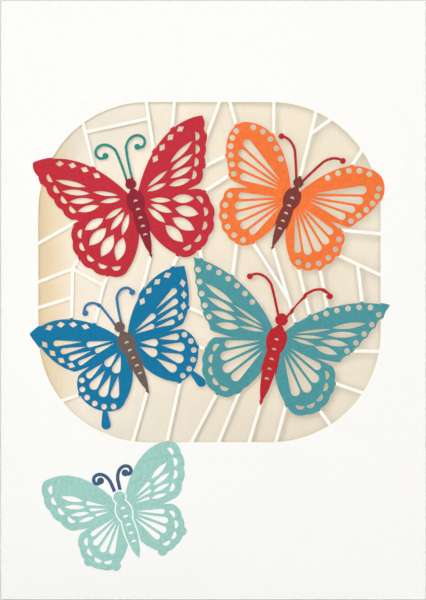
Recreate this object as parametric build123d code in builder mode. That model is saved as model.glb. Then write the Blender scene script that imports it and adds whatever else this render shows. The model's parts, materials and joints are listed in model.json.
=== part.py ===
"""A laser-cut greeting card that stands open on its lower edges.

It is two folded sheets. The card's front panel has a rounded window, filled by thin bars that carry
four butterflies, and all of that is cut from the same sheet as the panels. A thin paper insert is
folded inside it, and its front leaf shows through the window.
Millimetres. +Z is up, the front panel faces -Y and the fold is at -X. The origin is on the ground,
in the middle of the card's length and depth.
"""

import os
from math import asin, atan2, cos, degrees, pi, radians, sin

from build123d import *

os.makedirs("parts", exist_ok=True)

# The window in the front panel, and the borders round it
window_width = 101.8
window_height = 101.2
window_corner = 32.6
fold_border = 11.3  # from the outside of the fold
free_border = 13.4
top_border = 30.1
foot_border = 46.7

# The card: one sheet, folded once
card_thickness = 0.3
card_fold_radius = 0.3  # inside the fold
card_opening = 36.0  # degrees between the two panels

# The cutting
bar_width = 1.0
bar_bite = 2.0  # how far a bar runs on under the border
vein = 0.8  # card left between two cut-outs
edging = 1.3  # from a wing's edge to the middle of the dots, or to the half-moons, beside it
diamond_edging = 1.5
dot_width = 1.5
moon_length = 2.7
moon_bow = 0.45  # a half-moon's height, in lengths
ring_length = 1.35  # the small half-moons along a body
diamond_length = 2.6
diamond_width = 1.8
feeler_width = 0.8
knob_width = 1.6
feeler_squeeze = 0.33  # the lower, the longer a feeler stays straight before it curls in
tail_length = 9.0  # the tail of a swallowtail's hindwing, from inside the wing
tail_width = 2.8

# Small curves are cut as short straight runs, as many as their size needs
dot_sides = 6
head_sides = 8
round_sides = 5  # the round end of a drop
bow_sides = 5  # one side of a leaf, or the bow of a half-moon
scallop_sides = 4

# The butterflies: wing span, place from the window's middle, and lean to the left in degrees
crimson_span, crimson_middle, crimson_lean = 52.0, (-21.5, 19.5), 16.0
orange_span, orange_middle, orange_lean = 49.0, (24.0, 20.5), -22.0
blue_span, blue_middle, blue_lean = 50.0, (-24.0, -22.5), 24.0
teal_span, teal_middle, teal_lean = 60.0, (19.5, -22.0), -14.0

# A butterfly's body, in half spans. The chest and the tail are a foot, a top and a width.
head_height, head_radius = 0.27, 0.065
chest = (-0.12, 0.24, 0.18)
abdomen = (-0.60, 0.16, 0.13)
ring_heights = (0.06, -0.04, -0.14, -0.24, -0.34)
feeler_root = (0.03, 0.28)

# The insert: one thinner sheet, folded once
insert_thickness = 0.15
insert_fold_radius = 0.15
insert_lift = 10.0  # degrees between the card's front panel and the insert's front leaf
insert_setback = 1.5  # from the card's fold to the insert's
insert_margin = 2.0  # how far the insert stays inside the card's other edges

# Sizes that follow
card_width = fold_border + window_width + free_border
card_height = foot_border + window_height + top_border
card_bend = card_fold_radius + card_thickness
panel_width = card_width - card_bend
window_middle = Vector(fold_border + window_width / 2, foot_border + window_height / 2)


def scaled(points, size):
    """Points given in shares of a size."""
    return [Vector(across * size, up * size) for across, up in points]


def facing(spot, along):
    """The location at a point whose x axis runs along a direction."""
    return Location((spot.X, spot.Y), degrees(atan2(along.Y, along.X)))


def in_window(across, up):
    """A point in the window, given in shares of its half width and half height."""
    return window_middle + Vector(across * window_width / 2, up * window_height / 2)


def rim(angle):
    """A point under the border, just outside the window's box, at an angle about its middle."""
    across, up = cos(radians(angle)), sin(radians(angle))
    reach = 1 / max(
        abs(across) / (window_width / 2 + bar_bite),
        abs(up) / (window_height / 2 + bar_bite),
    )
    return window_middle + Vector(across, up) * reach


def part_way(bar, share):
    """A point on a bar, by its share of the way from the bar's start."""
    start, end = bar
    return start + (end - start) * share


def bowed(start, end, depth, sides):
    """Points on a shallow parabola from start to end, which bows out to the left of that way."""
    left = (end - start).rotate(Axis.Z, 90).normalized() * depth
    shares = [i / sides for i in range(sides + 1)]
    return [start + (end - start) * share + left * 4 * share * (1 - share) for share in shares]


def dot(width):
    """A small round hole."""
    RegularPolygon(width / 2, dot_sides, major_radius=False)


def diamond(length, width):
    """A hole with four corners, its length along x."""
    with BuildLine() as edge:
        Polyline((-length / 2, 0), (0, -width / 2), (length / 2, 0), (0, width / 2), close=True)
    make_face(edge.line)


def moon(length):
    """A half-moon hole, its straight side along x and its bow, half an ellipse, towards +y."""
    turns = [pi * i / bow_sides for i in range(bow_sides + 1)]
    bow = [(length / 2 * cos(turn), moon_bow * length * sin(turn)) for turn in turns]
    with BuildLine() as edge:
        Polyline(*bow, close=True)
    make_face(edge.line)


def drop(length, width):
    """A hole from a point at the origin to a round end along x."""
    radius = width / 2
    middle = length - radius
    half = pi / 2 + asin(radius / middle)
    turns = [half * (2 * i / round_sides - 1) for i in range(round_sides + 1)]
    end = [(middle + radius * cos(turn), radius * sin(turn)) for turn in turns]
    with BuildLine() as edge:
        Polyline((0, 0), *end, close=True)
    make_face(edge.line)


def leaf(length, width):
    """A hole between two bows that meet in points, from the origin along x."""
    near, far = Vector(0, 0), Vector(length, 0)
    there = bowed(near, far, width / 2, bow_sides)
    back = bowed(far, near, width / 2, bow_sides)
    with BuildLine() as edge:
        Polyline(*there, *back[1:-1], close=True)
    make_face(edge.line)


def at_each(places, shape, *sizes):
    """Draw one shape at every place."""
    with BuildSketch(mode=Mode.PRIVATE) as hole:
        shape(*sizes)
    with Locations(*places):
        add(hole.sketch)


class Wing:
    """A right-hand wing: a leading edge out to the tip, an outer margin and a trailing edge back.

    All points are in half spans. The margin may be cut into scallops, which bow out by depth.
    """

    def __init__(self, half_span, lead, margin, trail, scallops=0, depth=0.0):
        with BuildLine() as outline:
            self.lead = Spline(*scaled(lead, half_span))
            self.margin = Spline(*scaled(margin, half_span), mode=Mode.PRIVATE)
            for i in range(scallops):
                start, end = self.margin @ (i / scallops), self.margin @ ((i + 1) / scallops)
                Polyline(*bowed(start, end, depth, scallop_sides))
            if not scallops:
                add(self.margin)
            back = Spline(*scaled(trail, half_span))
            Line(back @ 1, self.lead @ 0)
        self.outline = outline.line
        self.root = self.lead @ 0

    def row(self, edge, inset, count, start=None, end=None):
        """Places along an edge of the wing, set in from it, with their x axes along the edge.

        Start and end are shares of the edge. By default each place is in the middle of one of as
        many equal stretches, as the scallops are.
        """
        start = start or 0.5 / count
        end = end or 1 - start
        shares = [start + (end - start) * i / (count - 1) for i in range(count)]
        inward = [(edge % share).rotate(Axis.Z, -90) * inset for share in shares]
        return [facing(edge @ share + step, edge % share) for share, step in zip(shares, inward)]

    def moons(self, count, start=None, end=None):
        """Half-moons along the margin, which bow towards it."""
        at_each(self.row(self.margin, edging + moon_length / 2, count, start, end), moon, moon_length)

    def dots(self, edge, count, start=None, end=None):
        """Round holes along an edge of the wing."""
        at_each(self.row(edge, edging, count, start, end), dot, dot_width)

    def diamonds(self, edge, count, start, end):
        """Diamonds along an edge of the wing."""
        places = self.row(edge, diamond_edging, count, start, end)
        at_each(places, diamond, diamond_length, diamond_width)

    def cells(self, shape, count, start, end, near, far):
        """Draw a shape in each cell between the veins, which fan out from the root to the margin.

        Near and far are shares of the way out. A leaf is widest half-way along and a drop at its
        round end, and there it leaves half a vein on either side.
        """
        step = (end - start) / count
        for i in range(count):
            low = self.margin @ (start + i * step) - self.root
            high = self.margin @ (start + (i + 1) * step) - self.root
            ray = (low + high) / 2
            spread = sin(radians(low.get_angle(high)) / 2)
            if shape is leaf:
                width = ray.length * (near + far) * spread - vein
            else:
                width = (2 * ray.length * far * spread - vein) / (1 + spread)
            at_each([facing(self.root + ray * near, ray)], shape, ray.length * (far - near), width)


class Butterfly:
    """A butterfly's place on the front panel, its outline and its cut-outs."""

    def __init__(self, span, middle, lean):
        self.half = span / 2
        spot = window_middle + Vector(*middle)
        self.spot = Location((spot.X, spot.Y), lean)

    def on(self, across, up):
        """A point on the panel, given in half spans across and up the butterfly."""
        return (self.spot * Location((across * self.half, up * self.half))).position

    def body(self):
        """A round head, a short chest and a long abdomen, the last two pointed at both ends."""
        with Locations((0, head_height * self.half)):
            RegularPolygon(head_radius * self.half, head_sides)
        for low, high, width in (chest, abdomen):
            foot = Location((0, low * self.half), 90)
            at_each([foot], leaf, (high - low) * self.half, width * self.half)

    def feeler(self, aim, length, curl, sides):
        """A thin feeler from the head that curls in towards its end, and ends in a knob.

        It turns as much at each corner, and its length grows with a low power of its turn.
        """
        spot = Vector(*feeler_root) * self.half
        left, right = [], []
        for i in range(sides + 1):
            way = Vector(1, 0).rotate(Axis.Z, aim + curl * i / sides)
            side = way.rotate(Axis.Z, 90) * feeler_width / 2
            left.append(spot + side)
            right.insert(0, spot - side)
            if i < sides:
                start, end = (i / sides) ** feeler_squeeze, ((i + 1) / sides) ** feeler_squeeze
                run = length * self.half * (end - start)
                spot += way.rotate(Axis.Z, curl / sides / 2) * run
        with BuildLine() as edge:
            Polyline(*left, *right, close=True)
        make_face(edge.line)
        with Locations(spot):
            dot(knob_width)

    def draw(self, wings, feeler, cut, tail=None):
        """Make the outline from the right-hand wings and feeler, and the holes that cut() draws."""
        with BuildSketch() as outline:
            for wing in wings:
                make_face(wing.outline)
            if tail:
                at_each([tail], drop, tail_length, tail_width)
            self.feeler(*feeler)
            mirror(about=Plane.YZ)
            self.body()
        with BuildSketch() as cuts:
            cut()
            mirror(about=Plane.YZ)
            rings = [Location((0, height * self.half)) for height in ring_heights]
            at_each(rings, moon, ring_length)
        self.outline = outline.sketch
        self.cuts = cuts.sketch


def draw_crimson():
    """Pointed forewings and broad hindwings, with leaf-shaped cells and rows of half-moons."""
    crimson = Butterfly(crimson_span, crimson_middle, crimson_lean)
    fore = Wing(
        crimson.half,
        [(0.03, 0.12), (0.28, 0.48), (0.62, 0.74), (1.0, 0.80)],
        [(1.0, 0.80), (0.96, 0.56), (0.88, 0.30), (0.76, 0.06)],
        [(0.76, 0.06), (0.38, 0.0), (0.03, 0.0)],
        scallops=5,
        depth=0.5,
    )
    hind = Wing(
        crimson.half,
        [(0.03, 0.08), (0.40, 0.06), (0.74, 0.0)],
        [(0.74, 0.0), (0.82, -0.28), (0.66, -0.58), (0.34, -0.70)],
        [(0.34, -0.70), (0.13, -0.46), (0.03, -0.14)],
        scallops=5,
        depth=0.8,
    )

    def cut():
        fore.moons(4, 0.30, 0.90)
        fore.diamonds(fore.lead, 4, 0.38, 0.76)
        hind.moons(5)
        fore.cells(leaf, 2, 0.16, 0.98, 0.16, 0.45)
        fore.cells(leaf, 4, 0.10, 1.0, 0.50, 0.83)
        hind.cells(leaf, 3, 0.02, 0.98, 0.18, 0.48)
        hind.cells(leaf, 4, 0.02, 0.98, 0.50, 0.82)

    crimson.draw([fore, hind], (102, 0.86, -330, 10), cut)
    return crimson


def draw_orange():
    """Round-tipped forewings and fan-shaped hindwings, with drop-shaped cells and rows of dots."""
    orange = Butterfly(orange_span, orange_middle, orange_lean)
    fore = Wing(
        orange.half,
        [(0.03, 0.12), (0.26, 0.48), (0.58, 0.72), (0.90, 0.70)],
        [(0.90, 0.70), (1.0, 0.52), (0.93, 0.24), (0.78, 0.0)],
        [(0.78, 0.0), (0.40, -0.02), (0.03, 0.0)],
    )
    hind = Wing(
        orange.half,
        [(0.03, 0.06), (0.40, 0.02), (0.74, -0.10)],
        [(0.74, -0.10), (0.76, -0.38), (0.56, -0.64), (0.28, -0.66)],
        [(0.28, -0.66), (0.10, -0.40), (0.03, -0.14)],
        scallops=6,
        depth=0.6,
    )

    def cut():
        fore.dots(fore.margin, 6, 0.18, 0.93)
        fore.dots(fore.lead, 5, 0.38, 0.88)
        hind.dots(hind.margin, 6)
        fore.cells(drop, 4, 0.06, 1.0, 0.20, 0.82)
        hind.cells(drop, 5, 0.02, 0.98, 0.20, 0.80)

    orange.draw([fore, hind], (74, 0.62, -90, 5), cut)
    return orange


def draw_blue():
    """Swept forewings with drops and diamonds, and hindwings that end in a small tail."""
    blue = Butterfly(blue_span, blue_middle, blue_lean)
    fore = Wing(
        blue.half,
        [(0.03, 0.12), (0.28, 0.44), (0.62, 0.64), (1.0, 0.62)],
        [(1.0, 0.62), (0.95, 0.40), (0.86, 0.18), (0.70, 0.0)],
        [(0.70, 0.0), (0.36, -0.02), (0.03, 0.0)],
    )
    hind = Wing(
        blue.half,
        [(0.03, 0.06), (0.36, 0.02), (0.68, -0.06)],
        [(0.68, -0.06), (0.76, -0.28), (0.64, -0.52), (0.38, -0.62)],
        [(0.38, -0.62), (0.15, -0.42), (0.03, -0.14)],
    )

    def cut():
        fore.diamonds(fore.margin, 4, 0.28, 0.90)
        fore.diamonds(fore.lead, 4, 0.40, 0.80)
        hind.dots(hind.margin, 6, 0.06, 0.90)
        fore.cells(drop, 2, 0.16, 0.98, 0.14, 0.46)
        fore.cells(drop, 4, 0.10, 1.0, 0.48, 0.82)
        hind.cells(drop, 2, 0.04, 0.96, 0.18, 0.46)
        hind.cells(drop, 4, 0.02, 0.98, 0.48, 0.82)

    tail = facing(Vector(0.52, -0.44) * blue.half, Vector(0.35, -1))
    blue.draw([fore, hind], (90, 0.60, -190, 7), cut, tail)
    return blue


def draw_teal():
    """Long notched forewings with slender leaf-shaped cells, and small round hindwings."""
    teal = Butterfly(teal_span, teal_middle, teal_lean)
    fore = Wing(
        teal.half,
        [(0.03, 0.12), (0.32, 0.42), (0.66, 0.60), (1.0, 0.66)],
        [(1.0, 0.66), (0.92, 0.42), (0.82, 0.22), (0.66, 0.0)],
        [(0.66, 0.0), (0.34, -0.02), (0.03, 0.0)],
        scallops=6,
        depth=-0.35,
    )
    hind = Wing(
        teal.half,
        [(0.03, 0.06), (0.34, 0.0), (0.60, -0.06)],
        [(0.60, -0.06), (0.66, -0.28), (0.56, -0.52), (0.32, -0.60)],
        [(0.32, -0.60), (0.12, -0.38), (0.03, -0.14)],
        scallops=5,
        depth=0.6,
    )

    def cut():
        fore.dots(fore.margin, 5, 0.17, 0.83)
        fore.dots(fore.lead, 6, 0.34, 0.84)
        hind.moons(5)
        fore.cells(leaf, 3, 0.14, 1.0, 0.16, 0.52)
        fore.cells(leaf, 4, 0.14, 1.0, 0.52, 0.87)
        hind.cells(drop, 4, 0.02, 0.98, 0.20, 0.76)

    teal.draw([fore, hind], (74, 0.60, -130, 6), cut)
    return teal


crimson, orange, blue, teal = draw_crimson(), draw_orange(), draw_blue(), draw_teal()
butterflies = (crimson, orange, blue, teal)

# The bars of the lattice, each from one point to another. These carry others.
left_web = in_window(-0.80, 0.02)
low_web = in_window(-0.62, -0.08)
over_crimson = (rim(127), crimson.on(-0.36, 0.45))
over_crimson_wing = (rim(110), crimson.on(0.34, 0.45))
over_orange = (rim(58), orange.on(0.02, 0.15))
right_of_orange = (rim(-2), orange.on(0.55, -0.35))
left_of_blue = (left_web, blue.on(-0.55, 0.45))
under_blue = (rim(-104), blue.on(0.55, -0.40))
under_teal = (rim(-52), teal.on(0.45, -0.40))
orange_to_teal = (orange.on(0.0, -0.57), teal.on(0.16, 0.24))

bars = [
    # Above the crimson butterfly
    over_crimson,
    over_crimson_wing,
    (part_way(over_crimson, 0.45), part_way(over_crimson_wing, 0.35)),
    (rim(101), crimson.on(0.55, 0.55)),
    # Between the crimson and the orange butterfly
    (rim(86), crimson.on(0.80, 0.30)),
    (rim(84), orange.on(-0.90, 0.55)),
    (crimson.on(0.60, -0.10), orange.on(-0.70, 0.20)),
    (crimson.on(0.70, 0.20), orange.on(-0.80, 0.40)),
    # Above the orange butterfly
    (rim(70), orange.on(-0.40, 0.45)),
    over_orange,
    (rim(49), part_way(over_orange, 0.40)),
    (rim(42), orange.on(0.50, 0.60)),
    # Right of the orange and the teal butterfly
    (rim(12), orange.on(0.60, -0.10)),
    right_of_orange,
    (part_way(right_of_orange, 0.45), teal.on(0.80, 0.45)),
    (orange.on(0.50, -0.40), teal.on(0.50, 0.30)),
    (rim(-24), teal.on(0.60, 0.10)),
    (rim(-36), teal.on(0.50, -0.20)),
    under_teal,
    (rim(-43), part_way(under_teal, 0.40)),
    # Below
    (rim(-70), teal.on(0.25, -0.45)),
    (rim(-78), teal.on(0.0, -0.55)),
    (rim(-88), teal.on(-0.20, -0.30)),
    (rim(-97), teal.on(-0.40, -0.40)),
    under_blue,
    (rim(-114), blue.on(0.0, -0.55)),
    (rim(-142), blue.on(-0.45, -0.30)),
    # Left of the blue and the crimson butterfly
    (rim(-164), blue.on(-0.60, 0.30)),
    (rim(-176), left_web),
    (left_web, crimson.on(-0.60, -0.20)),
    left_of_blue,
    (rim(-168), part_way(left_of_blue, 0.45)),
    (rim(172), crimson.on(-0.60, 0.05)),
    (crimson.on(-0.40, -0.50), low_web),
    (low_web, left_web),
    (low_web, blue.on(-0.35, 0.30)),
    # The middle
    (crimson.on(0.0, -0.57), blue.on(0.26, 0.36)),
    (crimson.on(0.45, -0.45), blue.on(0.60, 0.40)),
    (crimson.on(0.60, -0.30), teal.on(-0.85, 0.50)),
    (orange.on(-0.50, -0.40), teal.on(-0.55, 0.35)),
    orange_to_teal,
    (orange.on(-0.40, -0.50), part_way(orange_to_teal, 0.65)),
    (orange.on(0.25, -0.50), teal.on(0.30, 0.30)),
    (blue.on(0.80, 0.20), teal.on(-0.55, 0.10)),
    (blue.on(0.55, -0.15), teal.on(-0.45, -0.20)),
]

with BuildSketch() as lattice:
    for start, end in bars:
        with Locations(facing((start + end) / 2, end - start)):
            Rectangle((end - start).length, bar_width)

# Planes and directions of the standing card
to_back = Vector(cos(radians(card_opening)), sin(radians(card_opening)))
off_back = to_back.rotate(Axis.Z, 90)
card_depth = card_bend + (to_back * panel_width + off_back * card_bend).Y
front_plane = Plane(origin=(-card_width / 2, -card_depth / 2, 0), x_dir=(1, 0, 0), z_dir=(0, -1, 0))
card_fold = Vector(card_bend - card_width / 2, card_bend - card_depth / 2)

with BuildPart() as card:
    with BuildSketch(front_plane):
        with Locations(((card_bend + card_width) / 2, card_height / 2)):
            Rectangle(panel_width, card_height)
        with Locations(window_middle):
            RectangleRounded(window_width, window_height, window_corner, mode=Mode.SUBTRACT)
        add(lattice.sketch)
        for butterfly in butterflies:
            with Locations(butterfly.spot):
                add(butterfly.outline)
        for butterfly in butterflies:
            with Locations(butterfly.spot):
                add(butterfly.cuts, mode=Mode.SUBTRACT)
    extrude(amount=-card_thickness)
    with BuildSketch(Plane((card_fold.X, card_fold.Y, 0))):
        with BuildLine():
            bow = 180 - card_opening
            outer = CenterArc((0, 0), card_bend, 90 + card_opening, bow)
            inner = CenterArc((0, 0), card_fold_radius, 90 + card_opening, bow)
            back = to_back * panel_width
            Polyline(outer @ 0, outer @ 0 + back, inner @ 0 + back, inner @ 0)
            Line(outer @ 1, inner @ 1)
        make_face()
    extrude(amount=card_height)
card.part.label = "card"
export_step(card.part, "parts/card.step")

# The insert's back leaf lies on the card's back panel
insert_bend = insert_fold_radius + insert_thickness
insert_fold = card_fold + to_back * insert_setback + off_back * (card_fold_radius - insert_bend)
leaf_width = panel_width - insert_setback - insert_margin

with BuildPart() as insert:
    with BuildSketch(Plane((insert_fold.X, insert_fold.Y, insert_margin))):
        with BuildLine():
            bow = 180 - card_opening + insert_lift
            outer = CenterArc((0, 0), insert_bend, 90 + card_opening, bow)
            inner = CenterArc((0, 0), insert_fold_radius, 90 + card_opening, bow)
            back = to_back * leaf_width
            Polyline(outer @ 0, outer @ 0 + back, inner @ 0 + back, inner @ 0)
            front = Vector(cos(radians(insert_lift)), sin(radians(insert_lift))) * leaf_width
            Polyline(outer @ 1, outer @ 1 + front, inner @ 1 + front, inner @ 1)
        make_face()
    extrude(amount=card_height - 2 * insert_margin)
insert.part.label = "insert"
export_step(insert.part, "parts/insert.step")
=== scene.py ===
"""Dresses the laser-cut greeting card: its inks, its rounded cut edges, its papers and its stage.

The card's front panel is cut and coloured afresh from the frame's own mesh. Its cut edges are read
from there and made finer, and the fields of ink are drawn over them. Lengths in the drawing are
millimetres, measured on the front panel from the card's middle and from the ground.
"""

import json

import bpy
import numpy as np
from bpy.props import FloatProperty, FloatVectorProperty, IntProperty, PointerProperty
from bpy.types import Operator, Panel, PropertyGroup
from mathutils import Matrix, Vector
from mathutils.geometry import delaunay_2d_cdt

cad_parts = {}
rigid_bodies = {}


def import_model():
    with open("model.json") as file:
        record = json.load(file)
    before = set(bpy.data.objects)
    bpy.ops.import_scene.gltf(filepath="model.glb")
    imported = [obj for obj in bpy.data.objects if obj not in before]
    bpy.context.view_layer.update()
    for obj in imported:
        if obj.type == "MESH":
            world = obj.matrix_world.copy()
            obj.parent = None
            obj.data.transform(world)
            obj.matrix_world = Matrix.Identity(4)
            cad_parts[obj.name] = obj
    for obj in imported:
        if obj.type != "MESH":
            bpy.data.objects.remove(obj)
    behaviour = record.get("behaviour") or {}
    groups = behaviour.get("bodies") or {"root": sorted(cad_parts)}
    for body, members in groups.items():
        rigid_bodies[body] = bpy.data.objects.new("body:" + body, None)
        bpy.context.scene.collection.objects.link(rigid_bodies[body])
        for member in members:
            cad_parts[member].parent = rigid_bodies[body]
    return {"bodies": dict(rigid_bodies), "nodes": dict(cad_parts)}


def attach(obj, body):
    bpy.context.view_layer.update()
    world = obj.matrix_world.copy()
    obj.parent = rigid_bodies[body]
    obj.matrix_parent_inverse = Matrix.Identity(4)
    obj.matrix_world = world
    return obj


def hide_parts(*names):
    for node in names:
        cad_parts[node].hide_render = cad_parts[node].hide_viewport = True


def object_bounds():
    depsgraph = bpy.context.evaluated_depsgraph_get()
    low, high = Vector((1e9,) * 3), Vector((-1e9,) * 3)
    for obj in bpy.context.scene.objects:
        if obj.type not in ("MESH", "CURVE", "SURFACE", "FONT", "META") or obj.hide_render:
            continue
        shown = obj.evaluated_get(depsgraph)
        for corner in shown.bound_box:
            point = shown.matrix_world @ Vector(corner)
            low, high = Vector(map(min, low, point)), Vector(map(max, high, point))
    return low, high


bl_info = {
    "name": "Laser-cut greeting card",
    "version": (1, 0, 0),
    "blender": (4, 5, 0),
    "location": "View3D > Sidebar > Card",
    "description": "Prints, cuts and stages a folded greeting card with a butterfly lattice",
    "category": "Object",
}

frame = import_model()
cad_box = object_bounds()
body = next(iter(frame["bodies"]))
MM = 0.001

# The butterflies, as the card's source draws them. Spans and middles are in millimetres, middles
# are from the window's, and leans are to the left, in degrees. Each wing is its leading edge, its
# outer margin and its trailing edge, in half spans, and the depth of its scallops in millimetres.
# A feeler is its first direction in degrees, its length in half spans, its turn in degrees and its
# number of runs. A tail is its foot in half spans, its direction, its length and its width.
BUTTERFLIES = {
    "crimson": {
        "span": 52.0, "middle": (-21.5, 19.5), "lean": 16.0, "feeler": (102, 0.86, -330, 10),
        "wings": [
            {
                "lead": [(0.03, 0.12), (0.28, 0.48), (0.62, 0.74), (1.0, 0.80)],
                "margin": [(1.0, 0.80), (0.96, 0.56), (0.88, 0.30), (0.76, 0.06)],
                "trail": [(0.76, 0.06), (0.38, 0.0), (0.03, 0.0)],
                "scallops": 5, "depth": 0.5,
            },
            {
                "lead": [(0.03, 0.08), (0.40, 0.06), (0.74, 0.0)],
                "margin": [(0.74, 0.0), (0.82, -0.28), (0.66, -0.58), (0.34, -0.70)],
                "trail": [(0.34, -0.70), (0.13, -0.46), (0.03, -0.14)],
                "scallops": 5, "depth": 0.8,
            },
        ],
    },
    "orange": {
        "span": 49.0, "middle": (24.0, 20.5), "lean": -22.0, "feeler": (74, 0.62, -90, 5),
        "wings": [
            {
                "lead": [(0.03, 0.12), (0.26, 0.48), (0.58, 0.72), (0.90, 0.70)],
                "margin": [(0.90, 0.70), (1.0, 0.52), (0.93, 0.24), (0.78, 0.0)],
                "trail": [(0.78, 0.0), (0.40, -0.02), (0.03, 0.0)],
            },
            {
                "lead": [(0.03, 0.06), (0.40, 0.02), (0.74, -0.10)],
                "margin": [(0.74, -0.10), (0.76, -0.38), (0.56, -0.64), (0.28, -0.66)],
                "trail": [(0.28, -0.66), (0.10, -0.40), (0.03, -0.14)],
                "scallops": 6, "depth": 0.6,
            },
        ],
    },
    "blue": {
        "span": 50.0, "middle": (-24.0, -22.5), "lean": 24.0, "feeler": (90, 0.60, -190, 7),
        "tail": ((0.52, -0.44), (0.35, -1.0), 9.0, 2.8),
        "wings": [
            {
                "lead": [(0.03, 0.12), (0.28, 0.44), (0.62, 0.64), (1.0, 0.62)],
                "margin": [(1.0, 0.62), (0.95, 0.40), (0.86, 0.18), (0.70, 0.0)],
                "trail": [(0.70, 0.0), (0.36, -0.02), (0.03, 0.0)],
            },
            {
                "lead": [(0.03, 0.06), (0.36, 0.02), (0.68, -0.06)],
                "margin": [(0.68, -0.06), (0.76, -0.28), (0.64, -0.52), (0.38, -0.62)],
                "trail": [(0.38, -0.62), (0.15, -0.42), (0.03, -0.14)],
            },
        ],
    },
    "teal": {
        "span": 60.0, "middle": (19.5, -22.0), "lean": -14.0, "feeler": (74, 0.60, -130, 6),
        "wings": [
            {
                "lead": [(0.03, 0.12), (0.32, 0.42), (0.66, 0.60), (1.0, 0.66)],
                "margin": [(1.0, 0.66), (0.92, 0.42), (0.82, 0.22), (0.66, 0.0)],
                "trail": [(0.66, 0.0), (0.34, -0.02), (0.03, 0.0)],
                "scallops": 6, "depth": -0.35,
            },
            {
                "lead": [(0.03, 0.06), (0.34, 0.0), (0.60, -0.06)],
                "margin": [(0.60, -0.06), (0.66, -0.28), (0.56, -0.52), (0.32, -0.60)],
                "trail": [(0.32, -0.60), (0.12, -0.38), (0.03, -0.14)],
                "scallops": 5, "depth": 0.6,
            },
        ],
    },
    # This one is only printed, on the border below the window
    "mint": {
        "span": 43.0, "middle": (-25.0, -72.5), "lean": 18.0, "feeler": (90, 0.70, -345, 30),
        "wings": [
            {
                "lead": [(0.03, 0.12), (0.26, 0.50), (0.60, 0.76), (0.92, 0.78)],
                "margin": [(0.92, 0.78), (0.98, 0.54), (0.90, 0.26), (0.74, 0.04)],
                "trail": [(0.74, 0.04), (0.38, 0.0), (0.03, 0.0)],
                "scallops": 4, "depth": 0.6,
            },
            {
                "lead": [(0.03, 0.06), (0.36, 0.02), (0.66, -0.06)],
                "margin": [(0.66, -0.06), (0.72, -0.30), (0.60, -0.54), (0.34, -0.62)],
                "trail": [(0.34, -0.62), (0.13, -0.42), (0.03, -0.14)],
                "scallops": 4, "depth": 0.6,
            },
        ],
    },
}
WINDOW_MIDDLE = np.array([-1.05, 97.3])  # from the card's middle, and from the ground

# What each butterfly is printed with: wings, body and feelers
INKS = {
    "crimson": ("crimson", "wine", "green"),
    "orange": ("orange", "maroon", "red"),
    "blue": ("blue", "umber", "sky"),
    "teal": ("teal", "red", "red"),
    "mint": ("mint", "mint", "navy"),
}
INK_NAMES = sorted({ink for inks in INKS.values() for ink in inks})

# Bodies and feelers, in half spans. The chest and the tail are a foot, a top and a width.
HEAD = ((0.0, 0.27), 0.065)  # middle and radius
TRUNK = ((-0.12, 0.24, 0.18), (-0.60, 0.16, 0.13))
FEELER_ROOT = (0.03, 0.28)
FEELER_SQUEEZE = 0.33  # the lower, the longer a feeler stays straight before it curls in
FEELER_WIDTH = 0.8  # of a cut feeler, in millimetres

# The printed butterfly, in millimetres where nothing else is said
PRINTED_FEELER_WIDTH = 1.05
VEIN = 0.9  # the ink between two white cells of its wings
MOON_BOW = 0.45  # a half-moon's height over its length
BODY_GAP = 0.8  # white round its body
RINGS = (0.10, -0.02, -0.14, -0.26, -0.38)  # heights of the marks on its body, in half spans
RING_LENGTH = 1.5
KNOBS = (0.5, 1.0)  # on its hindwing, as shares of the margin
KNOB_RADIUS = 1.5

# How many points the drawn curves have
EDGE_POINTS = 40  # a wing's edge
SCALLOP_POINTS = 9  # one bow of a wing's margin
LEAF_POINTS = 12  # one side of a leaf
DROP_POINTS = 16  # the round end of a drop
MOON_POINTS = 14
RING_POINTS = 24

# Reading and cutting the sheet, in millimetres
NEAR = 1e-3  # what lies this near is in the same place
DECIMALS = 4  # corners that are the same to so many are one
CUT_NEAR = 1e-6  # the triangulation makes points one that lie this near
RIM = 1.0  # no hole comes this near to the card's edges
MIDDLE_REACH = 40.0  # this near to the middle the panel is flat, clear of its fold
PANEL_REACH = 2.0  # the front panel's faces lie this near together
TOASTED_HOLE = 10.0  # only holes of more square millimetres show toast at their edges
SMOOTH_FOLD = 35.0  # the widest turn in degrees that is shaded smooth

# The papers, with the scales of their noises per metre
PAPER_SHEEN = 0.15
TOOTH_DEPTH = 0.35  # how strongly the tooth shows
GRAIN_SCALE, GRAIN_DETAIL = 1400.0, 3.0  # the fine mottling and the tooth
CUT_GRAIN_SCALE = 2500.0  # the same in the cut edges
CLOUD_SCALE, CLOUD_DETAIL = 45.0, 2.0  # the broad mottling
NOISE_SPREAD = (0.3, 0.7)  # where most of a noise's values are
RIB_PITCH = 1.1  # the insert's ribs, in millimetres
RIB_SHADE = 0.014  # how much darker the paper is between two ribs
RIB_WAVER = 0.6  # how unevenly the ribs run
# The insert's colour stops paint its light and shade: painted warm shade by the fold, painted light
# left of the middle, and cream painted darker towards the right
INSERT_STOPS = (-52.0, -38.0, 18.0)  # its colours' places, in millimetres from the card's middle

# The stage, in metres
LAMPS = {  # the way from the front panel's middle, and the side of the square
    "front": ((-0.035, -1.0, 0.035), 0.18),
    "left": ((-0.45, -0.50, 0.75), 0.60),
    "right": ((1.15, 0.05, 0.55), 0.55),
    "back": ((-0.45, 1.0, 0.40), 0.60),
    "top": ((0.0, 0.10, 1.3), 0.90),
}
SENSOR_WIDTH = 36.0  # millimetres
FLOOR_REACH = 3.0
FLOOR_SHARE = 0.85  # the floor's colour, as a share of the page's
FLOOR_FADE = (0.12, 0.60)  # between these reaches the floor fades into the page
FLOOR_BOUNCE = (0.35, 0.35, 0.34, 1.0)  # the floor's colour for the light that it sends back
FLOOR_ROUGHNESS, FLOOR_SHEEN = 0.9, 0.1
SEEN_RAYS = ("Is Camera Ray", "Is Glossy Ray", "Is Transmission Ray")


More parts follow.
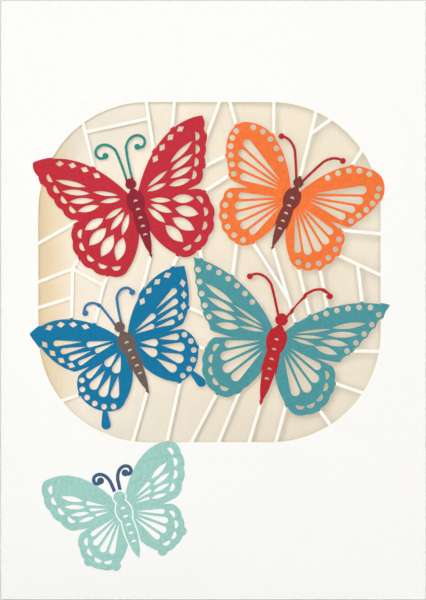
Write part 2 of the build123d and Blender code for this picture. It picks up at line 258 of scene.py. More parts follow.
class CardInks(PropertyGroup):
    """The colours of the print and the papers, as they look."""

    card_white: FloatVectorProperty(
        name="Card", description="The white card", default=(0.98, 0.977, 0.968),
        subtype="COLOR_GAMMA")
    toasted: FloatVectorProperty(
        name="Toasted card", description="The card's face beside a cut, yellowed by the laser",
        default=(0.995, 0.985, 0.945), subtype="COLOR_GAMMA")
    scorched: FloatVectorProperty(
        name="Scorched card", description="The inner face beside a cut, browned by the laser",
        default=(0.965, 0.93, 0.85), subtype="COLOR_GAMMA")
    cut_edge: FloatVectorProperty(
        name="Cut edge", description="The card's core in a cut", default=(0.90, 0.85, 0.75),
        subtype="COLOR_GAMMA")
    insert_cream: FloatVectorProperty(
        name="Insert", description="The cream paper inside", default=(0.905, 0.87, 0.805),
        subtype="COLOR_GAMMA")
    # Painted light: the insert painted lighter left of the middle
    insert_painted_light: FloatVectorProperty(
        name="Pale insert", description="The insert left of the middle",
        default=(0.95, 0.92, 0.87), subtype="COLOR_GAMMA")
    # Painted shade: a warm painted shade on the insert near the fold
    insert_painted_fold_shade: FloatVectorProperty(
        name="Warm insert", description="The insert near the fold", default=(0.93, 0.85, 0.71),
        subtype="COLOR_GAMMA")
    crimson: FloatVectorProperty(
        name="Crimson", description="The crimson butterfly's wings", default=(0.755, 0.165, 0.22),
        subtype="COLOR_GAMMA")
    orange: FloatVectorProperty(
        name="Orange", description="The orange butterfly's wings", default=(0.955, 0.46, 0.21),
        subtype="COLOR_GAMMA")
    blue: FloatVectorProperty(
        name="Blue", description="The blue butterfly's wings", default=(0.01, 0.455, 0.625),
        subtype="COLOR_GAMMA")
    teal: FloatVectorProperty(
        name="Teal", description="The teal butterfly's wings", default=(0.29, 0.585, 0.61),
        subtype="COLOR_GAMMA")
    mint: FloatVectorProperty(
        name="Mint", description="The printed butterfly's wings and body",
        default=(0.615, 0.80, 0.76), subtype="COLOR_GAMMA")
    maroon: FloatVectorProperty(
        name="Maroon", description="The orange butterfly's body", default=(0.48, 0.21, 0.195),
        subtype="COLOR_GAMMA")
    wine: FloatVectorProperty(
        name="Wine", description="The crimson butterfly's body", default=(0.56, 0.12, 0.19),
        subtype="COLOR_GAMMA")
    red: FloatVectorProperty(
        name="Red", description="The teal butterfly's body and feelers, and the orange one's feelers",
        default=(0.72, 0.13, 0.16), subtype="COLOR_GAMMA")
    umber: FloatVectorProperty(
        name="Umber", description="The blue butterfly's body", default=(0.41, 0.35, 0.33),
        subtype="COLOR_GAMMA")
    green: FloatVectorProperty(
        name="Green", description="The crimson butterfly's feelers", default=(0.13, 0.55, 0.50),
        subtype="COLOR_GAMMA")
    sky: FloatVectorProperty(
        name="Sky", description="The blue butterfly's feelers", default=(0.20, 0.47, 0.66),
        subtype="COLOR_GAMMA")
    navy: FloatVectorProperty(
        name="Navy", description="The printed butterfly's feelers", default=(0.23, 0.35, 0.48),
        subtype="COLOR_GAMMA")


class CardCutting(PropertyGroup):
    """How the sheet is cut and printed."""

    bleed: FloatProperty(
        name="Bleed", description="How far the ink runs past a wing's cut edge, in millimetres",
        default=0.4, min=0.0)
    toast: FloatProperty(
        name="Toast", description="How far from a cut the card is yellowed, in millimetres",
        default=0.5, min=0.0)
    rounds: IntProperty(
        name="Rounds", description="How often the runs of the cut edges are halved", default=2,
        min=0)
    hole_corner: FloatProperty(
        name="Smooth corner", description="The widest turn in degrees that is still a smooth curve",
        default=66.0)
    notch_corner: FloatProperty(
        name="Smooth notch", description="The same, where the card's edge turns inwards",
        default=35.0)
    small_hole: FloatProperty(
        name="Small hole", description="The largest hole in a wing, in square millimetres",
        default=30.0)


class CardStage(PropertyGroup):
    """The camera and the light."""

    distance: FloatProperty(
        name="Distance", description="From the camera to the front panel", default=0.9,
        unit="LENGTH")
    margin: FloatProperty(
        name="Margin", description="The picture's height over the card's", default=1.003)
    front: FloatProperty(
        name="Front", description="Light from in front, over what shows white as white",
        default=0.58)
    left: FloatProperty(name="Left", description="Light from the upper left", default=0.24)
    right: FloatProperty(
        name="Right", description="Light from the right, between the panels", default=0.75)
    back: FloatProperty(name="Back", description="Light on the back panel", default=0.64)
    top: FloatProperty(name="Top", description="Light from above", default=0.40)
    sky: FloatProperty(name="Sky", description="Strength of the light all round", default=0.17)
    page: FloatVectorProperty(
        name="Page", description="The floor and what is behind it", default=(0.83, 0.83, 0.82),
        subtype="COLOR_GAMMA")


def through(points, count):
    """Points on the one polynomial through the given ones.

    Its parameter runs from 0 to 1 with the length of the straight runs between them. Each given
    point weighs the product, over all the others, of the parameter's distance from the other,
    divided by that product at the given point itself.
    """
    points = np.array(points, float)
    runs = np.linalg.norm(np.diff(points, axis=0), axis=1)
    knots = np.concatenate([[0], np.cumsum(runs)]) / runs.sum()
    own = np.eye(len(knots), dtype=bool)
    spans = np.where(own, 1, knots[:, None] - knots)
    gaps = np.where(own, 1, np.linspace(0, 1, count)[:, None, None] - knots)
    return (gaps / spans).prod(axis=2) @ points


def bowed(start, end, depth, count):
    """Points on a parabola from start to end, which bows out to the left of that way by depth."""
    start, end = np.array(start, float), np.array(end, float)
    left = np.array([start[1] - end[1], end[0] - start[0]])
    left *= depth / np.linalg.norm(left)
    share = np.linspace(0, 1, count)[:, None]
    return start + (end - start) * share + left * 4 * share * (1 - share)


def at_shares(edge, shares):
    """The places on an edge at shares of its length, and its directions there."""
    runs = np.linalg.norm(np.diff(edge, axis=0), axis=1)
    length = np.concatenate([[0], np.cumsum(runs)]) / runs.sum()
    slopes = np.gradient(edge, length, axis=0)
    spots, ways = ([np.interp(shares, length, axis) for axis in kind.T] for kind in (edge, slopes))
    ways = np.array(ways).T
    return np.array(spots).T, ways / np.linalg.norm(ways, axis=1)[:, None]


def turned(shape, way, spot):
    """A shape turned so that its x axis runs along a direction, and moved to a spot."""
    way = np.array(way, float) / np.linalg.norm(way)
    return shape @ np.array([way, (-way[1], way[0])]) + spot


def ring(radius):
    """Points on a circle about the origin."""
    turns = np.linspace(0, 2 * np.pi, RING_POINTS, endpoint=False)
    return radius * np.stack([np.cos(turns), np.sin(turns)], 1)


def leaf(length, width):
    """Two bows that meet in points, from the origin along x."""
    there = bowed((0, 0), (length, 0), width / 2, LEAF_POINTS)
    return np.concatenate([there[:-1], there[:0:-1] * (1, -1)])


def drop(length, width):
    """A point at the origin and a round end along x, joined by the end's tangents."""
    radius = width / 2
    middle = length - radius
    half = np.pi / 2 + np.arcsin(radius / middle)
    turns = np.linspace(-half, half, DROP_POINTS)
    end = radius * np.stack([np.cos(turns), np.sin(turns)], 1) + (middle, 0)
    return np.concatenate([[(0, 0)], end])


def moon(length):
    """Half an ellipse over a straight side along x."""
    turns = np.linspace(0, np.pi, MOON_POINTS)
    return length * np.stack([np.cos(turns) / 2, MOON_BOW * np.sin(turns)], 1)


class Wing:
    """A right-hand wing's edges and outline, in millimetres about the butterfly's middle."""

    def __init__(self, half, lead, margin, trail, scallops=0, depth=0.0):
        self.lead, self.margin, trail = (
            through(half * np.array(edge), EDGE_POINTS) for edge in (lead, margin, trail))
        self.root = self.lead[0]
        outer = [self.margin]
        if scallops:
            ends, _ = at_shares(self.margin, np.linspace(0, 1, scallops + 1))
            outer = [
                bowed(start, end, depth, SCALLOP_POINTS) for start, end in zip(ends, ends[1:])]
        self.outline = np.concatenate([self.lead[:-1], *(part[:-1] for part in outer), trail])

    def row(self, shape, count, start, end, inset):
        """One shape at several places along the margin, set in from it, bowing outwards."""
        spots, ways = at_shares(self.margin, np.linspace(start, end, count))
        inward = ways[:, ::-1] * (1, -1) * inset
        return [turned(shape, way, spot) for way, spot in zip(ways, spots + inward)]

    def cells(self, shape, count, start, end, near, far):
        """A shape in each cell between veins that fan out from the root to the margin.

        The veins end between two shares of the margin's length, and a cell's shape lies between
        two shares of the way to there. A leaf is as wide as its cell is halfway along it, and a
        drop as wide as fits its round end, both less one vein.
        """
        ends, _ = at_shares(self.margin, np.linspace(start, end, count + 1))
        rays = ends - self.root
        angles = np.arctan2(rays[:, 1], rays[:, 0])
        cells = []
        for ray, spread in zip((rays[:-1] + rays[1:]) / 2, np.sin(np.abs(np.diff(angles)) / 2)):
            reach = np.linalg.norm(ray)
            width = reach * (near + far) * spread - VEIN
            if shape is drop:
                width = (2 * reach * far * spread - VEIN) / (1 + spread)
            cells.append(turned(shape(reach * (far - near), width), ray, self.root + ray * near))
        return cells


def feeler(half, width, aim, length, curl, sides):
    """The outline of a right-hand feeler and its knob.

    It turns by the same angle at each corner, and its length grows with a low power of the share
    of its turn, so that it starts straight and curls in.
    """
    shares = np.linspace(0, 1, sides + 1)
    run = half * length * np.diff(shares**FEELER_SQUEEZE)
    ways = np.radians(aim + curl * (shares[:-1] + shares[1:]) / 2)
    steps = run[:, None] * np.stack([np.cos(ways), np.sin(ways)], 1)
    spine = half * np.array(FEELER_ROOT) + np.concatenate([[(0, 0)], np.cumsum(steps, axis=0)])
    turns = np.radians(aim + curl * shares)
    side = width / 2 * np.stack([-np.sin(turns), np.cos(turns)], 1)
    return [np.concatenate([spine + side, (spine - side)[::-1]]), spine[-1] + ring(width)]


def trunk(half):
    """The outlines of the head, the chest and the tail."""
    (across, up), radius = HEAD
    parts = [half * (ring(radius) + (across, up))]
    for low, high, width in TRUNK:
        parts.append(turned(leaf(half * (high - low), half * width), (0, 1), (0, half * low)))
    return parts


def signed_area(outline):
    """Half the sum of the cross products of each point and the next, positive anticlockwise."""
    after = np.roll(outline, -1, axis=0)
    return (outline[:, 0] * after[:, 1] - outline[:, 1] * after[:, 0]).sum() / 2


def grown(outline, by):
    """An outline with each point moved out, square to the way between its two neighbours."""
    way = np.roll(outline, -1, axis=0) - np.roll(outline, 1, axis=0)
    out = way[:, ::-1] * (1, -1) / np.linalg.norm(way, axis=1)[:, None]
    return outline + out * by * np.sign(signed_area(outline))


def both_sides(outlines):
    """Outlines and their mirror images."""
    return outlines + [outline * (-1, 1) for outline in outlines]


def printed_gaps(half, wings):
    """The white gaps in the print of the mint butterfly's wings and body."""
    fore, hind = wings
    rings = [moon(RING_LENGTH) + (0, half * height) for height in RINGS]
    gaps = [
        *fore.row(moon(length=2.6), count=4, start=0.125, end=0.875, inset=2.4),
        *fore.cells(drop, count=3, start=0.10, end=0.98, near=0.20, far=0.46),
        *fore.cells(leaf, count=4, start=0.08, end=1.0, near=0.50, far=0.79),
        *hind.row(moon(length=2.4), count=4, start=0.125, end=0.875, inset=2.2),
        *hind.cells(drop, count=4, start=0.02, end=0.98, near=0.20, far=0.76),
    ]
    return rings + both_sides(gaps)


def ink_fields(bleed):
    """Every field of ink as an outline on the front panel with the ink's name, the last on top."""
    fields = []
    for name, drawing in BUTTERFLIES.items():
        half = drawing["span"] / 2
        wings = [Wing(half, **wing) for wing in drawing["wings"]]
        wing_ink, body_ink, feeler_ink = INKS[name]
        printed = name == "mint"
        patches = [grown(wing.outline, bleed) for wing in wings]
        if printed:
            tips, _ = at_shares(wings[1].margin, KNOBS)
            patches += [tip + ring(KNOB_RADIUS) for tip in tips]
        if "tail" in drawing:
            foot, way, length, width = drawing["tail"]
            patches.append(grown(turned(drop(length, width), way, half * np.array(foot)), bleed))
        line = PRINTED_FEELER_WIDTH if printed else FEELER_WIDTH + bleed
        feelers = feeler(half, line, *drawing["feeler"])
        layers = [(wing_ink, both_sides(patches)), (feeler_ink, both_sides(feelers))]
        layers.append((body_ink, [grown(part, bleed) for part in trunk(half)]))
        if printed:
            layers.insert(2, ("card", [grown(part, BODY_GAP) for part in trunk(half)]))
            layers.append(("card", printed_gaps(half, wings)))
        lean = np.radians(drawing["lean"])
        for ink, outlines in layers:
            for outline in outlines:
                place = turned(outline, (np.cos(lean), np.sin(lean)), drawing["middle"])
                fields.append((ink, place + WINDOW_MIDDLE))
    return fields


def in_order(after):
    """The order of points round closed outlines, outline by outline, and where each one starts.

    after holds each point's next one. The lowest point of an outline, its head, is found by jumps
    that double in length, and so is each point's number of steps to the head.
    """
    points = np.arange(len(after))
    head, jump = points.copy(), after.copy()
    for _ in range(len(after).bit_length()):
        head = np.minimum(head, head[jump])
        jump = jump[jump]
    steps = (head != points).astype(int)
    jump = np.where(head == points, points, after)
    for _ in range(len(after).bit_length()):
        steps = steps + steps[jump]
        jump = jump[jump]
    steps[head == points] = len(after)
    order = np.lexsort((-steps, head))
    return order, np.flatnonzero(head[order] == order)


def free_sides(triangles, count):
    """The directed sides that only one triangle has."""
    sides = np.concatenate([triangles[:, [0, 1]], triangles[:, [1, 2]], triangles[:, [2, 0]]])
    return sides[~np.isin(sides @ (count, 1), sides @ (1, count))]


def cut_outlines(corners, triangles):
    """The closed outlines of a flat patch of triangles, with the patch on their left."""
    starts, ends = free_sides(triangles, len(corners)).T
    place = np.full(len(corners), -1)
    place[starts] = np.arange(len(starts))
    order, firsts = in_order(place[ends])
    return np.split(corners[starts[order]], firsts[1:])


def finer(outline, smooth):
    """An outline with a new point in each run, and which of its points are smooth.

    The new point is the mean of the run's ends, moved by an eighth of the run's length times the
    difference of the outline's directions at the two ends. At a smooth point the direction is the
    way from the point before to the point after, and at a sharp one it is the run's own.
    """
    after = np.roll(outline, -1, axis=0)
    run = after - outline
    length = np.linalg.norm(run, axis=1)[:, None]
    chord = after - np.roll(outline, 1, axis=0)
    chord /= np.linalg.norm(chord, axis=1)[:, None]
    own = run / length
    first = np.where(smooth[:, None], chord, own)
    last = np.where(np.roll(smooth, -1)[:, None], np.roll(chord, -1, axis=0), own)
    new = (outline + after) / 2 + length / 8 * (first - last)
    fine = np.stack([outline, new], 1).reshape(-1, 2)
    return fine, np.stack([smooth, np.ones_like(smooth)], 1).ravel()


def rounded(outline, cutting):
    """A cut edge with its curves made fine and its corners kept."""
    before = outline - np.roll(outline, 1, axis=0)
    after = np.roll(outline, -1, axis=0) - outline
    cross = before[:, 0] * after[:, 1] - before[:, 1] * after[:, 0]
    turn = np.degrees(np.arctan2(cross, (before * after).sum(axis=1)))
    notch = cutting.notch_corner
    if abs(signed_area(outline)) < cutting.small_hole:
        notch = cutting.hole_corner
    smooth = (turn < cutting.hole_corner) & (turn > -notch)
    for _ in range(cutting.rounds):
        outline, smooth = finer(outline, smooth)
    return outline


def sheet_triangles(loops, fields, halos):
    """The corners and triangles of the cut and printed sheet, each one's field and its scorch.

    All outlines go into one constrained triangulation, which says which of them hold a triangle.
    The first loop is the sheet's edge, and what lies in another loop is cut away. A triangle's
    field is the last that holds it, and -1 where none does. The first fields are the halos round
    the cuts, and what lies in one of them is scorched, under ink too.
    """
    outlines = [part if signed_area(part) > 0 else part[::-1] for part in loops + fields]
    corners = [Vector(corner) for corner in np.concatenate(outlines)]
    numbers = np.split(np.arange(len(corners)), np.cumsum([len(part) for part in outlines])[:-1])
    made = delaunay_2d_cdt(corners, [], [part.tolist() for part in numbers], 0, CUT_NEAR, True)
    points, triangles, holders = np.array(made[0]), np.array(made[2]), made[5]
    holes = range(1, len(loops))
    kept = np.array([0 in held and not any(hole in held for hole in holes) for held in holders])
    top = np.array([max(held, default=0) - len(loops) for held in holders])
    near_cuts = range(len(loops), len(loops) + halos)
    scorched = np.array([any(number in near_cuts for number in held) for held in holders])
    return points, triangles[kept], np.maximum(top[kept], -1), scorched[kept]


def joined(corners, triangles, colours):
    """A mesh with the corners that coincide made one.

    Triangles that lose a side by that are left out, and so are the corners that no triangle has.
    """
    _, kept, number = np.unique(
        np.round(corners, DECIMALS), axis=0, return_index=True, return_inverse=True)
    triangles = number.reshape(-1)[triangles]
    whole = (triangles != np.roll(triangles, 1, axis=1)).all(axis=1)
    used, compact = np.unique(triangles[whole], return_inverse=True)
    return corners[kept][used], compact.reshape(-1, 3), colours[whole]


def mesh_arrays(node):
    """A frame node's corners in millimetres and its triangles, with what coincides made one."""
    mesh = frame["nodes"][node].data
    corners = np.zeros(3 * len(mesh.vertices), np.float32)
    mesh.vertices.foreach_get("co", corners)
    mesh.calc_loop_triangles()
    triangles = np.zeros(3 * len(mesh.loop_triangles), np.int32)
    mesh.loop_triangles.foreach_get("vertices", triangles)
    triangles = triangles.reshape(-1, 3)
    plain = np.zeros(len(triangles), int)
    corners, triangles, _ = joined(corners.reshape(-1, 3).astype(float) / MM, triangles, plain)
    return corners, triangles


class FrontPanel:
    """The front panel of the folded card: its faces' depths, its outlines and its own triangles.

    Its own are those of its two faces right of the fold, and those of its holes' walls, which
    reach from face to face and keep clear of the card's edges.
    """

    def __init__(self, corners, triangles):
        across, deep, up = corners.T
        self.outer = deep.min()
        in_middle = (np.abs(across) < MIDDLE_REACH) & (deep < self.outer + PANEL_REACH)
        self.inner = deep[in_middle].max()
        outer_face = (deep < self.outer + NEAR)[triangles].all(axis=1)
        self.loops = cut_outlines(np.stack([across, up], 1), triangles[outer_face])
        self.left = across[triangles[outer_face]].min()
        self.right, self.top = across.max(), up.max()
        flat = across > self.left - NEAR
        inner_face = ((np.abs(deep - self.inner) < NEAR) & flat)[triangles].all(axis=1)
        clear = (across > self.left + RIM) & (across < self.right - RIM)
        clear &= (up > RIM) & (up < self.top - RIM)
        wall = (clear & (deep < self.inner + NEAR))[triangles].all(axis=1)
        self.own = outer_face | inner_face | wall

    def hole_sides(self, points, sides):
        """Of the free sides, those of holes, and not of the panel's edges."""
        across, up = points.T
        rim = (across < self.left + NEAR) | (across > self.right - NEAR)
        rim |= (up < NEAR) | (up > self.top - NEAR)
        return sides[~rim[sides].all(axis=1)]


def sheet_piece(name, corners, triangles, colours):
    """A piece of paper as one mesh, smooth round its curves and folds and sharp at its edges.

    Its corners are given in millimetres, and each triangle's colour as its material's number.
    """
    mesh = bpy.data.meshes.new(name)
    mesh.from_pydata((corners * MM).tolist(), [], triangles.tolist())
    mesh.polygons.foreach_set("material_index", colours)
    mesh.polygons.foreach_set("use_smooth", np.ones(len(triangles), bool))
    mesh.set_sharp_from_angle(angle=np.radians(SMOOTH_FOLD))
    mesh.update()
    piece = bpy.data.objects.new(name, mesh)
    bpy.context.collection.objects.link(piece)
    return piece


def linear(colour):
    """A colour as it looks, made the light that the shader works with, by the sRGB curve."""
    colour = np.array(colour[:3])
    low = colour <= 0.04045
    return (*np.where(low, colour / 12.92, ((colour + 0.055) / 1.055) ** 2.4), 1.0)


def paper(name, colour, grain=0.05, grain_scale=GRAIN_SCALE, roughness=0.8, tooth=0.02):
    """A sheet's or an ink's material: two scales of mottling in its colour, and a fine tooth.

    The grain is the share by which the fine mottling changes the colour, and the broad one
    changes it by a third of that. The tooth's height is in millimetres.
    """
    material = bpy.data.materials.new(name)
    material.use_nodes = True
    nodes, links = material.node_tree.nodes, material.node_tree.links
    shader = nodes["Principled BSDF"]
    shader.inputs["Roughness"].default_value = roughness
    shader.inputs["Specular IOR Level"].default_value = PAPER_SHEEN
    place = nodes.new("ShaderNodeTexCoord")
    colour = linear(colour)

    def noise(scale, detail):
        """Noise over the object's own coordinates."""
        made = nodes.new("ShaderNodeTexNoise")
        made.inputs["Scale"].default_value = scale
        made.inputs["Detail"].default_value = detail
        links.new(place.outputs["Object"], made.inputs["Vector"])
        return made.outputs["Fac"]

    def mottled(base, factor, amount):
        """The base colour, lighter and darker by an amount as the factor leaves one half."""
        ramp = nodes.new("ShaderNodeMapRange")
        ramp.inputs["From Min"].default_value, ramp.inputs["From Max"].default_value = NOISE_SPREAD
        ramp.inputs["To Min"].default_value = 1 - amount
        ramp.inputs["To Max"].default_value = 1 + amount
        links.new(factor, ramp.inputs["Value"])
        mix = nodes.new("ShaderNodeVectorMath")
        mix.operation = "SCALE"
        if base is None:
            mix.inputs[0].default_value = colour[:3]
        else:
            links.new(base, mix.inputs[0])
        links.new(ramp.outputs["Result"], mix.inputs["Scale"])
        return mix.outputs["Vector"]

    fine = noise(grain_scale, GRAIN_DETAIL)
    broad = noise(CLOUD_SCALE, CLOUD_DETAIL)
    links.new(mottled(mottled(None, fine, grain), broad, grain / 3), shader.inputs["Base Color"])
    bump = nodes.new("ShaderNodeBump")
    bump.inputs["Strength"].default_value = TOOTH_DEPTH
    bump.inputs["Distance"].default_value = tooth * MM
    links.new(fine, bump.inputs["Height"])
    links.new(bump.outputs["Normal"], shader.inputs["Normal"])
    return material


def laid_paper(name, stops):
    """Cream paper with fine upright ribs, whose colour runs through stops from the fold on: painted
    warm shade by the fold, painted light left of the middle and darker cream to the right.

    A stop is a place from the card's middle, in millimetres, and a colour.
    """
    material = paper(name, (1, 1, 1), grain=0.02, tooth=0.03)
    nodes, links = material.node_tree.nodes, material.node_tree.links
    shader = nodes["Principled BSDF"]
    place = next(node for node in nodes if node.type == "TEX_COORD")
    bump = next(node for node in nodes if node.type == "BUMP")
    grained = shader.inputs["Base Color"].links[0].from_socket
    fine = bump.inputs["Height"].links[0].from_socket

    # A wave's runs are pi over ten times its scale
    ribs = nodes.new("ShaderNodeTexWave")
    ribs.inputs["Scale"].default_value = np.pi / (10 * RIB_PITCH * MM)
    ribs.inputs["Distortion"].default_value = RIB_WAVER
    links.new(place.outputs["Object"], ribs.inputs["Vector"])
    height = nodes.new("ShaderNodeMath")
    height.operation = "ADD"
    links.new(fine, height.inputs[0])
    links.new(ribs.outputs["Fac"], height.inputs[1])
    links.new(height.outputs["Value"], bump.inputs["Height"])
    dark = nodes.new("ShaderNodeMapRange")
    dark.inputs["To Min"].default_value = 1 - RIB_SHADE
    dark.inputs["To Max"].default_value = 1
    links.new(ribs.outputs["Fac"], dark.inputs["Value"])
    ribbed = nodes.new("ShaderNodeVectorMath")
    ribbed.operation = "SCALE"
    links.new(grained, ribbed.inputs[0])
    links.new(dark.outputs["Result"], ribbed.inputs["Scale"])

    # Painted light and shade across the insert: painted warm shade by the fold, painted light left of
    # the middle, darker cream to the right
    places = np.array([at for at, _ in stops])
    axes = nodes.new("ShaderNodeSeparateXYZ")
    links.new(place.outputs["Object"], axes.inputs["Vector"])
    across = nodes.new("ShaderNodeMapRange")
    across.inputs["From Min"].default_value = places[0] * MM
    across.inputs["From Max"].default_value = places[-1] * MM
    links.new(axes.outputs["X"], across.inputs["Value"])
    ramp = nodes.new("ShaderNodeValToRGB")
    ramp.color_ramp.interpolation = "EASE"
    while len(ramp.color_ramp.elements) < len(stops):
        ramp.color_ramp.elements.new(0.5)
    shares = (places - places[0]) / (places[-1] - places[0])
    for stop, share, (_, colour) in zip(ramp.color_ramp.elements, shares, stops):
        stop.position = share
        stop.color = linear(colour)
    links.new(across.outputs["Result"], ramp.inputs["Fac"])
    painted_light_and_shade = nodes.new("ShaderNodeVectorMath")
    painted_light_and_shade.operation = "MULTIPLY"
    links.new(ribbed.outputs["Vector"], painted_light_and_shade.inputs[0])
    links.new(ramp.outputs["Color"], painted_light_and_shade.inputs[1])
    links.new(painted_light_and_shade.outputs["Vector"], shader.inputs["Base Color"])
    return material


class CARD_OT_sheet(Operator):
    """Cut the front panel again with fine curves and print it, and join it to the folded card"""

    bl_idname = "card.sheet"
    bl_label = "Cut and print the card"

    def execute(self, context):
        inks, cutting = context.scene.card_inks, context.scene.card_cutting
        corners, triangles = mesh_arrays("card")
        panel = FrontPanel(corners, triangles)
        edge, *holes = sorted(panel.loops, key=lambda loop: -abs(signed_area(loop)))
        holes = [rounded(hole, cutting) for hole in holes]
        cells = [hole for hole in holes if abs(signed_area(hole)) > TOASTED_HOLE]
        fields = [("toast", grown(cell, cutting.toast)) for cell in cells]
        fields += ink_fields(cutting.bleed)
        points, cut, field, scorched = sheet_triangles(
            [edge, *holes], [outline for _, outline in fields], len(cells))

        # The sheet's outer face, its inner face, its holes' walls and the rest of the folded card
        count = len(points)
        near = np.stack([points[:, 0], np.full(count, panel.outer), points[:, 1]], 1)
        far = near + (0, panel.inner - panel.outer, 0)
        first, last = panel.hole_sides(points, free_sides(cut, count)).T
        walls = np.concatenate([
            np.stack([last, first, first + count], 1),
            np.stack([last, first + count, last + count], 1)])
        rest = triangles[~panel.own] + 2 * count
        faces = np.concatenate([cut, cut[:, ::-1] + count, walls, rest])
        names = ["card", "edge", "toast", "scorch", *INK_NAMES]
        finish = np.array([names.index(ink) for ink, _ in fields] + [names.index("card")])
        colours = np.concatenate([
            finish[field], np.where(scorched, names.index("scorch"), names.index("card")),
            np.full(len(walls), names.index("edge")), np.full(len(rest), names.index("card"))])
        every, faces, colours = joined(np.concatenate([near, far, corners]), faces, colours)
        piece = sheet_piece("card_sheet", every, faces, colours)

        finishes = [
            paper("plain_card", inks.card_white, grain=0.012),
            paper("cut_edge", inks.cut_edge, grain=0.06, grain_scale=CUT_GRAIN_SCALE),
            paper("toasted_card", inks.toasted, grain=0.02),
            paper("scorched_card", inks.scorched, grain=0.04),
        ]
        for ink in INK_NAMES:
            finishes.append(paper(f"{ink}_ink", getattr(inks, ink), grain=0.09, roughness=0.7))
        for material in finishes:
            piece.data.materials.append(material)
        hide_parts("card")
        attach(piece, body)
        return {"FINISHED"}


class CARD_OT_insert(Operator):
    """Make the folded insert of cream laid paper, with its fold smooth"""

    bl_idname = "card.insert"
    bl_label = "Fold the insert"

    def execute(self, context):
        inks = context.scene.card_inks
        corners, triangles = mesh_arrays("insert")
        piece = sheet_piece("insert_sheet", corners, triangles, np.zeros(len(triangles), int))
        # The stops paint warm shade by the fold, light left of the middle and darker cream to the
        # right
        stops = zip(INSERT_STOPS, (inks.insert_painted_fold_shade, inks.insert_painted_light, inks.insert_cream))
        piece.data.materials.append(laid_paper("cream_laid_paper", list(stops)))
        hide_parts("insert")
        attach(piece, body)
        return {"FINISHED"}


def soft_lamp(name, offset, size, share):
    """A soft square lamp, set off from the front panel's middle.

    It gives a surface that faces it there a share of the light that shows white as white. Such a
    lamp gives its power over the square of pi times the distance.
    """
    low, high = cad_box
    target = Vector(((low.x + high.x) / 2, low.y, (low.z + high.z) / 2))
    light = bpy.data.lights.new(name, "AREA")
    lamp = bpy.data.objects.new(name, light)
    light.size = size
    light.energy = share * (np.pi * Vector(offset).length) ** 2
    lamp.location = target + Vector(offset)
    lamp.rotation_euler = (-Vector(offset)).to_track_quat("-Z", "Y").to_euler()
    bpy.context.collection.objects.link(lamp)


def seen_ray(nodes, links):
    """One where the camera sees, also in a gloss or through glass, and nought elsewhere."""
    path = nodes.new("ShaderNodeLightPath")
    seen = path.outputs[SEEN_RAYS[0]]
    for ray in SEEN_RAYS[1:]:
        either = nodes.new("ShaderNodeMath")
        either.operation = "MAXIMUM"
        links.new(seen, either.inputs[0])
        links.new(path.outputs[ray], either.inputs[1])
        seen = either.outputs["Value"]
    return seen


def floor_finish(page):
    """A pale floor that keeps the card's shadow, sends back little light, and fades out."""
    material = bpy.data.materials.new("pale_floor")
    material.use_nodes = True
    nodes, links = material.node_tree.nodes, material.node_tree.links
    shader = nodes["Principled BSDF"]
    shader.inputs["Roughness"].default_value = FLOOR_ROUGHNESS
    shader.inputs["Specular IOR Level"].default_value = FLOOR_SHEEN
    seen = seen_ray(nodes, links)
    tone = nodes.new("ShaderNodeMix")
    tone.data_type = "RGBA"
    colours = [socket for socket in tone.inputs if socket.type == "RGBA"]
    colours[0].default_value = FLOOR_BOUNCE
    colours[1].default_value = (*(FLOOR_SHARE * np.array(linear(page)[:3])), 1)
    links.new(seen, tone.inputs["Factor"])
    made = next(socket for socket in tone.outputs if socket.type == "RGBA")
    links.new(made, shader.inputs["Base Color"])
    place = nodes.new("ShaderNodeTexCoord")
    reach = nodes.new("ShaderNodeVectorMath")
    reach.operation = "LENGTH"
    links.new(place.outputs["Object"], reach.inputs[0])
    far = nodes.new("ShaderNodeMapRange")
    far.interpolation_type = "SMOOTHSTEP"
    far.inputs["From Min"].default_value, far.inputs["From Max"].default_value = FLOOR_FADE
    links.new(reach.outputs["Value"], far.inputs["Value"])
    both = nodes.new("ShaderNodeMath")
    both.operation = "MULTIPLY"
    links.new(far.outputs["Result"], both.inputs[0])
    links.new(seen, both.inputs[1])
    glow = nodes.new("ShaderNodeEmission")
    glow.inputs["Color"].default_value = linear(page)
    mix = nodes.new("ShaderNodeMixShader")
    links.new(both.outputs["Value"], mix.inputs["Fac"])
    links.new(shader.outputs["BSDF"], mix.inputs[1])
    links.new(glow.outputs["Emission"], mix.inputs[2])
    links.new(mix.outputs["Shader"], nodes["Material Output"].inputs["Surface"])
    return material


def soft_sky(strength, page):
    """A world that lights evenly from all round, and shows as the page."""
    world = bpy.data.worlds.new("soft_sky")
    world.use_nodes = True
    nodes, links = world.node_tree.nodes, world.node_tree.links
    light = nodes["Background"]
    light.inputs["Color"].default_value = (1, 1, 1, 1)
    light.inputs["Strength"].default_value = strength
    behind = nodes.new("ShaderNodeBackground")
    behind.inputs["Color"].default_value = linear(page)
    mix = nodes.new("ShaderNodeMixShader")
    links.new(seen_ray(nodes, links), mix.inputs["Fac"])
    links.new(light.outputs["Background"], mix.inputs[1])
    links.new(behind.outputs["Background"], mix.inputs[2])
    links.new(mix.outputs["Shader"], nodes["World Output"].inputs["Surface"])
    return world


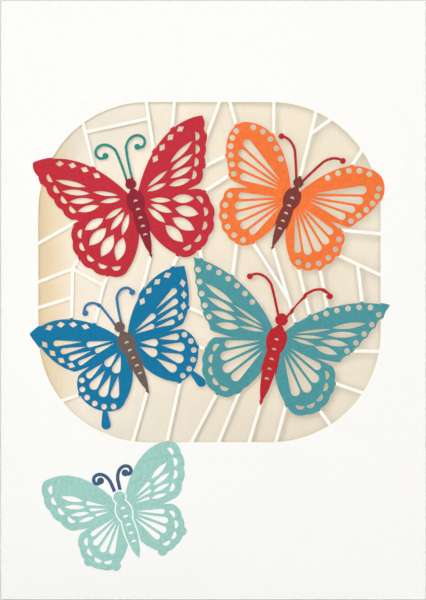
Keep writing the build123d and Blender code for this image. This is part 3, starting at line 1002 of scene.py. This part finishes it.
class CARD_OT_stage(Operator):
    """Put the card on a pale floor, and make the lamps and the camera"""

    bl_idname = "card.stage"
    bl_label = "Set the stage"

    def execute(self, context):
        stage = context.scene.card_stage
        low, high = cad_box
        floor_mesh = bpy.data.meshes.new("floor")
        corners = FLOOR_REACH * np.array([(-1, -1, 0), (1, -1, 0), (1, 1, 0), (-1, 1, 0)])
        floor_mesh.from_pydata(corners.tolist(), [], [(0, 1, 2, 3)])
        floor = bpy.data.objects.new("floor", floor_mesh)
        floor_mesh.materials.append(floor_finish(stage.page))
        context.collection.objects.link(floor)

        for name, (offset, size) in LAMPS.items():
            soft_lamp(f"{name}_lamp", offset, size, getattr(stage, name))
        context.scene.world = soft_sky(stage.sky, stage.page)
        context.scene.view_settings.view_transform = "Standard"

        camera = bpy.data.cameras.new("camera")
        camera.sensor_width = SENSOR_WIDTH
        camera.lens = SENSOR_WIDTH * stage.distance / ((high.z - low.z) * stage.margin)
        eye = bpy.data.objects.new("camera", camera)
        eye.location = ((low.x + high.x) / 2, low.y - stage.distance, (low.z + high.z) / 2)
        eye.rotation_euler = (np.pi / 2, 0, 0)
        context.collection.objects.link(eye)
        context.scene.camera = eye
        return {"FINISHED"}


class CARD_PT_panel(Panel):
    """The card's sizes, colours and steps, in the 3D view's sidebar."""

    bl_idname = "CARD_PT_panel"
    bl_label = "Greeting card"
    bl_space_type = "VIEW_3D"
    bl_region_type = "UI"
    bl_category = "Card"

    def draw(self, context):
        for title in GROUPS:
            group = getattr(context.scene, title)
            box = self.layout.box()
            for name in group.__annotations__:
                box.prop(group, name)
        for step in STEPS:
            self.layout.operator(step.bl_idname)


STEPS = (CARD_OT_sheet, CARD_OT_insert, CARD_OT_stage)
GROUPS = {"card_inks": CardInks, "card_cutting": CardCutting, "card_stage": CardStage}


def register():
    """Add the classes, and the groups to the scene."""
    for made in (*GROUPS.values(), *STEPS, CARD_PT_panel):
        bpy.utils.register_class(made)
    for name, group in GROUPS.items():
        setattr(bpy.types.Scene, name, PointerProperty(type=group))


def unregister():
    """Take them away again."""
    for name in GROUPS:
        delattr(bpy.types.Scene, name)
    for made in reversed((*GROUPS.values(), *STEPS, CARD_PT_panel)):
        bpy.utils.unregister_class(made)


def main():
    """Run every step in order."""
    register()
    bpy.ops.card.sheet()
    bpy.ops.card.insert()
    bpy.ops.card.stage()


if __name__ == "__main__":
    main()
